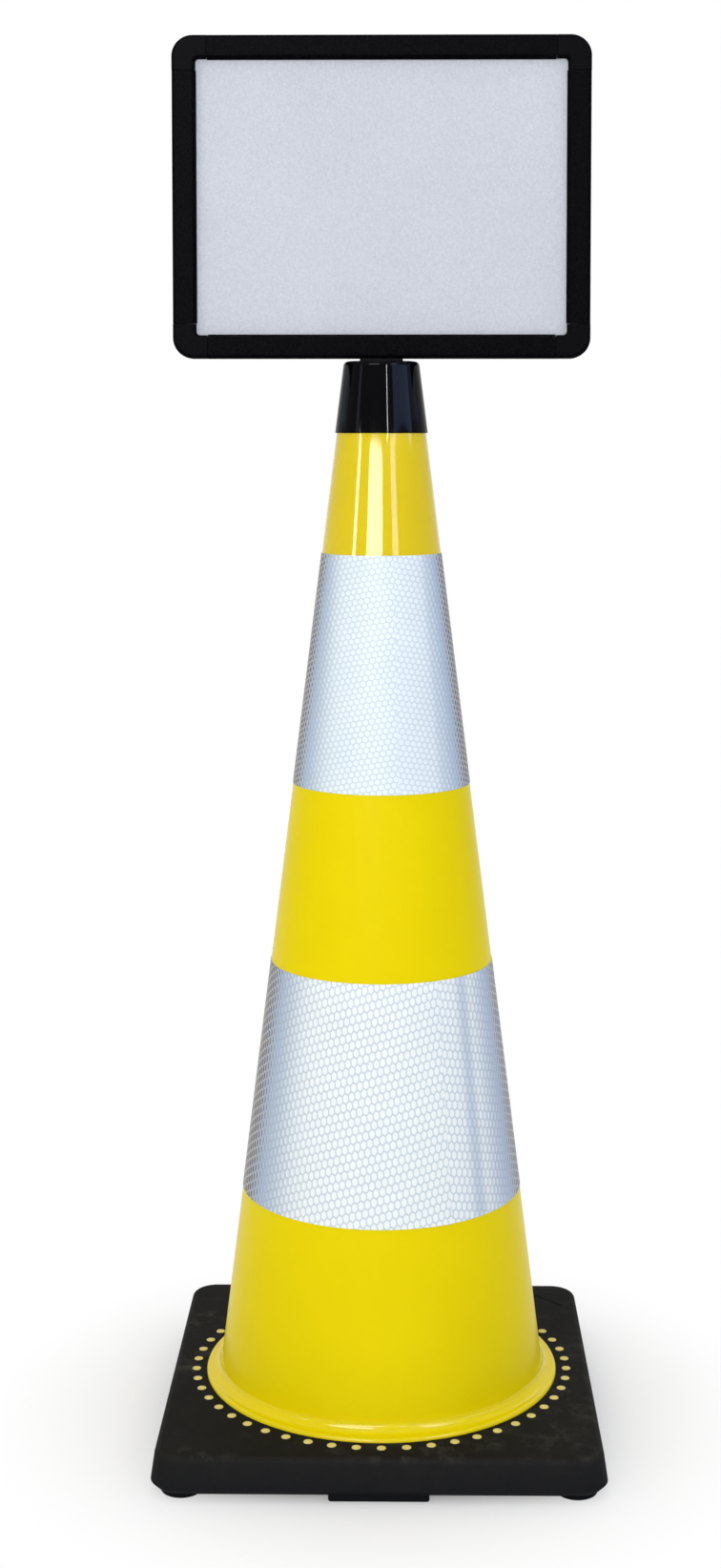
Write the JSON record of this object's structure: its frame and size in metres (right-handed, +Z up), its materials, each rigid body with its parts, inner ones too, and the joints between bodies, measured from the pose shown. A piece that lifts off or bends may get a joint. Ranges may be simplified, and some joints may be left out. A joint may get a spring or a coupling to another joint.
{
  "type": "cone sign",
  "caption": "Yellow traffic cone on a square rubber base with honeycomb reflective bands and a cap that carries a swivelling snap-open sign frame.",
  "frame": {"origin": "on the ground under the cone's axis, level with the feet", "axes": "+Z up along the cone's axis, the sign faces -Y, +X to the right seen from the front"},
  "size_m": [0.364, 0.364, 1.1714],
  "materials": {
    "black_rubber": "matt moulded recycled rubber",
    "yellow_pvc": "glossy flexible PVC",
    "reflective_sheeting": "prismatic honeycomb sheeting",
    "gloss_black_plastic": "polished",
    "zinc_steel": "zinc plated",
    "spring_steel": "bright",
    "black_painted_steel": "black powder coat",
    "rivet_aluminium": "plain",
    "black_aluminium": "black powder-coated extrusion",
    "black_plastic": "satin moulded",
    "grey_panel": "plain",
    "white_sheet": "plain, blank",
    "clear_sheet": "clear anti-glare"
  },
  "bodies": {
    "cone": {"base": "black_rubber", "cone_body": "yellow_pvc", "upper_band": "reflective_sheeting", "lower_band": "reflective_sheeting"},
    "cap": {"top_cap": "gloss_black_plastic"},
    "sign": {"pivot_stud": "zinc_steel", "flat_washer": "zinc_steel", "spring_washer": "spring_steel", "lock_nut": "zinc_steel", "bracket": "black_painted_steel", "bracket_rivets": "rivet_aluminium", "top_back_rail": "black_aluminium", "bottom_back_rail": "black_aluminium", "left_back_rail": "black_aluminium", "right_back_rail": "black_aluminium", "corner_top_left": "black_plastic", "corner_top_right": "black_plastic", "corner_bottom_left": "black_plastic", "corner_bottom_right": "black_plastic", "corner_screws": "zinc_steel", "rail_springs": "spring_steel", "back_panel": "grey_panel", "sign_sheet": "white_sheet", "clear_cover": "clear_sheet"},
    "top_flap": {"top_snap_rail": "black_aluminium"},
    "bottom_flap": {"bottom_snap_rail": "black_aluminium"},
    "left_flap": {"left_snap_rail": "black_aluminium"},
    "right_flap": {"right_snap_rail": "black_aluminium"}
  },
  "joints": [
    {"name": "cap_lift", "type": "slide", "parent": "cone", "child": "cap", "axis": [0, 0, 1], "range_m": [0, 0.09]},
    {"name": "sign_turn", "type": "hinge", "parent": "cap", "child": "sign", "pos_m": [0, 0, 0.9], "axis": [0, 0, 1], "continuous": true},
    {"name": "top_flap_hinge", "type": "hinge", "parent": "sign", "child": "top_flap", "pos_m": [0, -0.0025, 1.1679], "axis": [-1, 0, 0], "range_deg": [0, 80]},
    {"name": "bottom_flap_hinge", "type": "hinge", "parent": "sign", "child": "bottom_flap", "pos_m": [0, -0.0025, 0.9059], "axis": [1, 0, 0], "range_deg": [0, 80]},
    {"name": "left_flap_hinge", "type": "hinge", "parent": "sign", "child": "left_flap", "pos_m": [-0.172, -0.0025, 1.0369], "axis": [0, 0, -1], "range_deg": [0, 80]},
    {"name": "right_flap_hinge", "type": "hinge", "parent": "sign", "child": "right_flap", "pos_m": [0.172, -0.0025, 1.0369], "axis": [0, 0, 1], "range_deg": [0, 80]}
  ]
}
